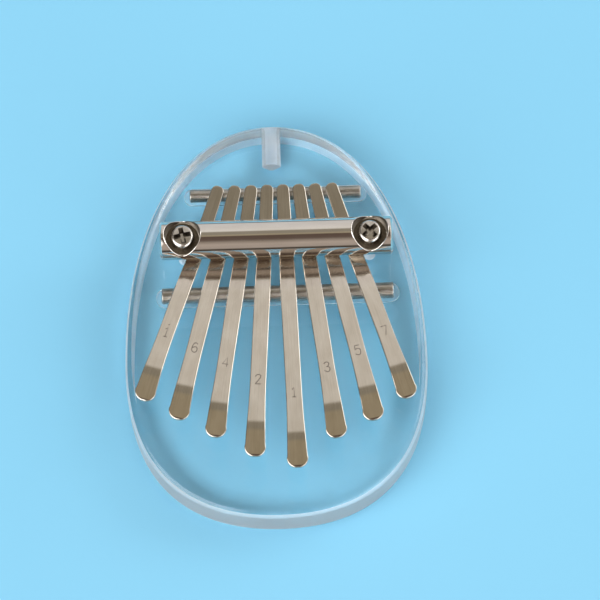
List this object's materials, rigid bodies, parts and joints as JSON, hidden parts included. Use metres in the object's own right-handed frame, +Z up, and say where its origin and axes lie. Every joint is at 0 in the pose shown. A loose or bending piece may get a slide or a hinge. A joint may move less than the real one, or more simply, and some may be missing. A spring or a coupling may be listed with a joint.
{
  "type": "mbira",
  "caption": "Pocket mbira: spring steel tines fanned over two bridges and held by a screwed pressure bar on an egg-shaped clear acrylic plate.",
  "frame": {"origin": "under the middle of the plate, on the surface that it rests on", "axes": "+Y towards the narrow end with the strap hole, +Z up through the plate, tines point to -Y"},
  "size_m": [0.075, 0.104, 0.0243],
  "materials": {
    "acrylic": "polished clear cast acrylic with a frosted drilled hole",
    "bar_chrome": "polished nickel-chrome plate",
    "bridge_steel": "drawn steel rod, nickel plated",
    "screw_nickel": "nickel-plated machine screw",
    "tine_nickel": "nickel-plated spring steel, finely brushed along its length"
  },
  "bodies": {
    "board": {"plate": "acrylic", "front_bridge": "bridge_steel", "rear_bridge": "bridge_steel", "pressure_bar": "bar_chrome", "left_screw": "screw_nickel", "right_screw": "screw_nickel"},
    "tine_1_held": {"tine_1_root": "tine_nickel"},
    "tine_1_free": {"tine_1_tongue": "tine_nickel"},
    "tine_2_held": {"tine_2_root": "tine_nickel"},
    "tine_2_free": {"tine_2_tongue": "tine_nickel"},
    "tine_3_held": {"tine_3_root": "tine_nickel"},
    "tine_3_free": {"tine_3_tongue": "tine_nickel"},
    "tine_4_held": {"tine_4_root": "tine_nickel"},
    "tine_4_free": {"tine_4_tongue": "tine_nickel"},
    "tine_5_held": {"tine_5_root": "tine_nickel"},
    "tine_5_free": {"tine_5_tongue": "tine_nickel"},
    "tine_6_held": {"tine_6_root": "tine_nickel"},
    "tine_6_free": {"tine_6_tongue": "tine_nickel"},
    "tine_7_held": {"tine_7_root": "tine_nickel"},
    "tine_7_free": {"tine_7_tongue": "tine_nickel"},
    "tine_8_held": {"tine_8_root": "tine_nickel"},
    "tine_8_free": {"tine_8_tongue": "tine_nickel"}
  },
  "joints": [
    {"name": "tine_1_tuning", "type": "slide", "parent": "board", "child": "tine_1_held", "axis": [-0.3276, -0.9448, 0], "range_m": [-0.001, 0.001]},
    {"name": "tine_1_pluck", "type": "hinge", "parent": "tine_1_held", "child": "tine_1_free", "pos_m": [-0.02382, 0.00343, 0.01633], "axis": [0.9448, -0.3276, 0], "range_deg": [-3, 5], "stiffness_Nm_per_rad": 4.3},
    {"name": "tine_2_tuning", "type": "slide", "parent": "board", "child": "tine_2_held", "axis": [-0.2415, -0.9704, 0], "range_m": [-0.001, 0.001]},
    {"name": "tine_2_pluck", "type": "hinge", "parent": "tine_2_held", "child": "tine_2_free", "pos_m": [-0.01665, 0.00337, 0.01633], "axis": [0.9704, -0.2415, 0], "range_deg": [-3, 5], "stiffness_Nm_per_rad": 3.68},
    {"name": "tine_3_tuning", "type": "slide", "parent": "board", "child": "tine_3_held", "axis": [-0.1534, -0.9882, 0], "range_m": [-0.001, 0.001]},
    {"name": "tine_3_pluck", "type": "hinge", "parent": "tine_3_held", "child": "tine_3_free", "pos_m": [-0.00979, 0.00333, 0.01633], "axis": [0.9882, -0.1534, 0], "range_deg": [-3, 5], "stiffness_Nm_per_rad": 3.24},
    {"name": "tine_4_tuning", "type": "slide", "parent": "board", "child": "tine_4_held", "axis": [-0.0641, -0.9979, 0], "range_m": [-0.001, 0.001]},
    {"name": "tine_4_pluck", "type": "hinge", "parent": "tine_4_held", "child": "tine_4_free", "pos_m": [-0.0031, 0.0033, 0.01633], "axis": [0.9979, -0.0641, 0], "range_deg": [-3, 5], "stiffness_Nm_per_rad": 2.86},
    {"name": "tine_5_tuning", "type": "slide", "parent": "board", "child": "tine_5_held", "axis": [0.0257, -0.9997, 0], "range_m": [-0.001, 0.001]},
    {"name": "tine_5_pluck", "type": "hinge", "parent": "tine_5_held", "child": "tine_5_free", "pos_m": [0.00351, 0.0033, 0.01633], "axis": [0.9997, 0.0257, 0], "range_deg": [-3, 5], "stiffness_Nm_per_rad": 2.66},
    {"name": "tine_6_tuning", "type": "slide", "parent": "board", "child": "tine_6_held", "axis": [0.1154, -0.9933, 0], "range_m": [-0.001, 0.001]},
    {"name": "tine_6_pluck", "type": "hinge", "parent": "tine_6_held", "child": "tine_6_free", "pos_m": [0.01016, 0.00332, 0.01633], "axis": [0.9933, 0.1154, 0], "range_deg": [-3, 5], "stiffness_Nm_per_rad": 3.17},
    {"name": "tine_7_tuning", "type": "slide", "parent": "board", "child": "tine_7_held", "axis": [0.2041, -0.979, 0], "range_m": [-0.001, 0.001]},
    {"name": "tine_7_pluck", "type": "hinge", "parent": "tine_7_held", "child": "tine_7_free", "pos_m": [0.01693, 0.00335, 0.01633], "axis": [0.979, 0.2041, 0], "range_deg": [-3, 5], "stiffness_Nm_per_rad": 3.54},
    {"name": "tine_8_tuning", "type": "slide", "parent": "board", "child": "tine_8_held", "axis": [0.2911, -0.9567, 0], "range_m": [-0.001, 0.001]},
    {"name": "tine_8_pluck", "type": "hinge", "parent": "tine_8_held", "child": "tine_8_free", "pos_m": [0.02396, 0.0034, 0.01633], "axis": [0.9567, 0.2911, 0], "range_deg": [-3, 5], "stiffness_Nm_per_rad": 4.17}
  ]
}
